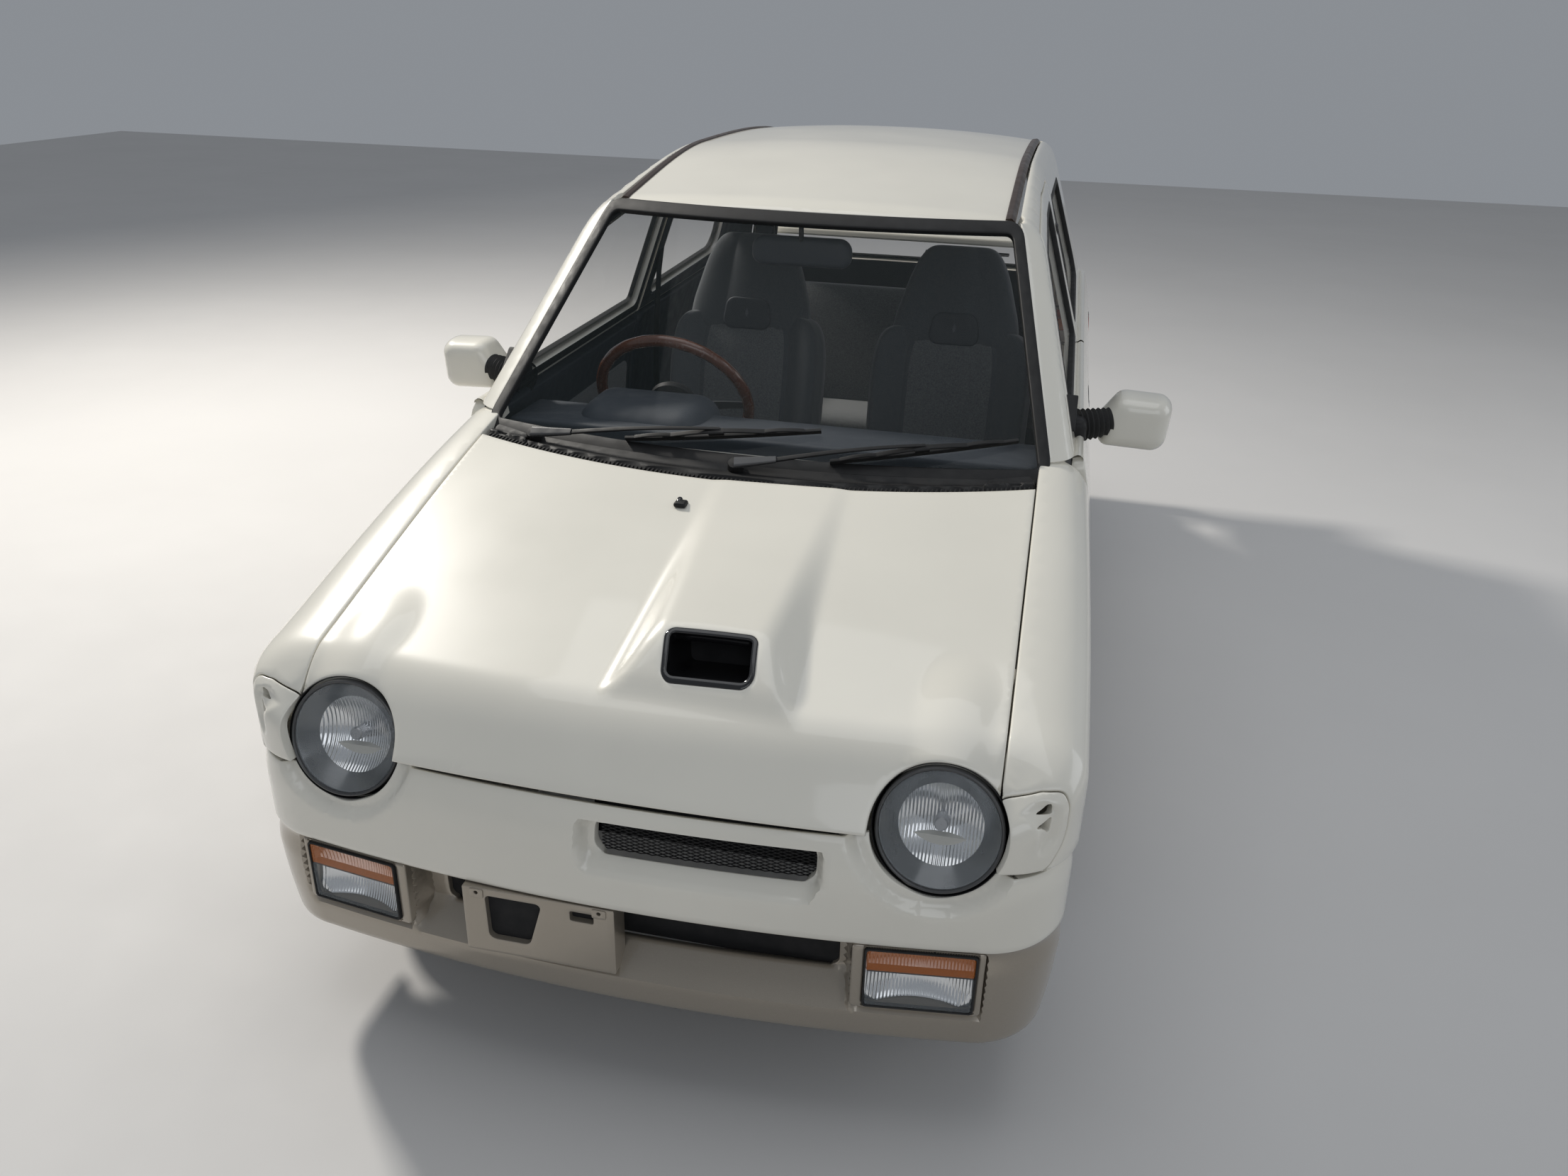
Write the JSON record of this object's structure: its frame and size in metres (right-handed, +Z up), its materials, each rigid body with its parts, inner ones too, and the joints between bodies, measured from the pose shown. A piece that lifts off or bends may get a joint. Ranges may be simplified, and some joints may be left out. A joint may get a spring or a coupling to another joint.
{
  "type": "three-door kei hatchback car",
  "caption": "Small three-door hatchback with an offset bonnet duct, round headlamps, steered front wheels, hinged doors, bonnet and tailgate.",
  "frame": {"origin": "on the ground, under the middle of the overall length and width", "axes": "+Z up, the car faces -Y, its left side is +X"},
  "size_m": [1.6716, 3.195, 1.3844],
  "materials": {
    "body_paint": "gloss warm white",
    "bumper_paint": "warm white over champagne silver",
    "glass": "clear, faint green",
    "lamp_glass": "fluted, clear",
    "fog_glass": "amber over clear",
    "tail_lens": "red and amber lens",
    "black_trim": "satin black",
    "rubber_black": "matt",
    "interior_plastic": "grained, dark blue grey",
    "seat_fabric": "woven, dark blue grey",
    "chassis": "satin black underseal",
    "floor_paint": "body colour, satin",
    "cast_metal": "rough",
    "engine_alloy": "cast",
    "wheel_alloy": "lacquered",
    "tyre": "matt",
    "steering_rim": "brown, worn",
    "exhaust_steel": "dull"
  },
  "bodies": {
    "root": {"body_side_left": "body_paint", "body_side_right": "body_paint", "roof_panel": "body_paint", "wing_left": "body_paint", "wing_right": "body_paint", "cowl": "black_trim", "front_bumper": "bumper_paint", "grille": "black_trim", "headlamps": "lamp_glass", "front_lamps": "fog_glass", "rear_lamps": "tail_lens", "rear_bumper": "bumper_paint", "quarter_glass": "glass", "windscreen": "glass", "wipers": "black_trim", "inner_mirror": "black_trim", "floor_pan": "floor_paint", "engine_bay": "floor_paint", "engine": "engine_alloy", "dashboard": "interior_plastic", "steering_column": "interior_plastic", "front_seats": "seat_fabric", "rear_seat": "seat_fabric", "front_suspension": "chassis", "rear_axle": "chassis", "fuel_tank": "chassis", "exhaust": "exhaust_steel"},
    "knuckle_left_body": {"knuckle_left": "cast_metal"},
    "knuckle_right_body": {"knuckle_right": "cast_metal"},
    "front_left_wheel": {"wheel_front_left": "wheel_alloy", "tyre_front_left": "tyre"},
    "front_right_wheel": {"wheel_front_right": "wheel_alloy", "tyre_front_right": "tyre"},
    "rear_left_wheel": {"wheel_rear_left": "wheel_alloy", "tyre_rear_left": "tyre"},
    "rear_right_wheel": {"wheel_rear_right": "wheel_alloy", "tyre_rear_right": "tyre"},
    "steering": {"steering_wheel": "steering_rim"},
    "left_door": {"door_left": "body_paint", "door_glass_left": "glass"},
    "right_door": {"door_right": "body_paint", "door_glass_right": "glass"},
    "bonnet_lid": {"bonnet": "body_paint"},
    "tailgate_lid": {"tailgate": "body_paint", "rear_glass": "glass"}
  },
  "joints": [
    {"name": "steering_turn", "type": "hinge", "parent": "root", "child": "steering", "pos_m": [-0.29, -0.335, 0.85], "axis": [0, 0.8829, 0.4695], "range_deg": [-495, 495]},
    {"name": "knuckle_left_steer", "type": "hinge", "parent": "root", "child": "knuckle_left_body", "pos_m": [0.53162, -1.0075, 0.3], "axis": [-0.1564, 0, 0.9877], "range_deg": [-33, 33]},
    {"name": "knuckle_right_steer", "type": "hinge", "parent": "root", "child": "knuckle_right_body", "pos_m": [-0.53162, -1.0075, 0.3], "axis": [0.1564, 0, 0.9877], "range_deg": [-33, 33]},
    {"name": "front_left_spin", "type": "hinge", "parent": "knuckle_left_body", "child": "front_left_wheel", "pos_m": [0.6075, -1.0075, 0.259], "axis": [1, 0, 0], "continuous": true},
    {"name": "front_right_spin", "type": "hinge", "parent": "knuckle_right_body", "child": "front_right_wheel", "pos_m": [-0.6075, -1.0075, 0.259], "axis": [1, 0, 0], "continuous": true},
    {"name": "rear_left_spin", "type": "hinge", "parent": "root", "child": "rear_left_wheel", "pos_m": [0.585, 1.1675, 0.259], "axis": [1, 0, 0], "continuous": true},
    {"name": "rear_right_spin", "type": "hinge", "parent": "root", "child": "rear_right_wheel", "pos_m": [-0.585, 1.1675, 0.259], "axis": [1, 0, 0], "continuous": true},
    {"name": "left_door_hinge", "type": "hinge", "parent": "root", "child": "left_door", "pos_m": [0.6965, -0.6425, 0.6], "axis": [0, 0, 1], "range_deg": [-65, 0]},
    {"name": "right_door_hinge", "type": "hinge", "parent": "root", "child": "right_door", "pos_m": [-0.6965, -0.6425, 0.6], "axis": [0, 0, -1], "range_deg": [-65, 0]},
    {"name": "bonnet_hinge", "type": "hinge", "parent": "root", "child": "bonnet_lid", "pos_m": [0, -0.787, 0.8715], "axis": [-1, 0, 0], "range_deg": [0, 50]},
    {"name": "tailgate_hinge", "type": "hinge", "parent": "root", "child": "tailgate_lid", "pos_m": [0, 1.33707, 1.3205], "axis": [1, 0, 0], "range_deg": [0, 78]}
  ],
  "couplings": [
    {"joint": "knuckle_left_steer", "follows": "steering_turn", "ratio": 0.066667},
    {"joint": "knuckle_right_steer", "follows": "steering_turn", "ratio": 0.066667}
  ]
}
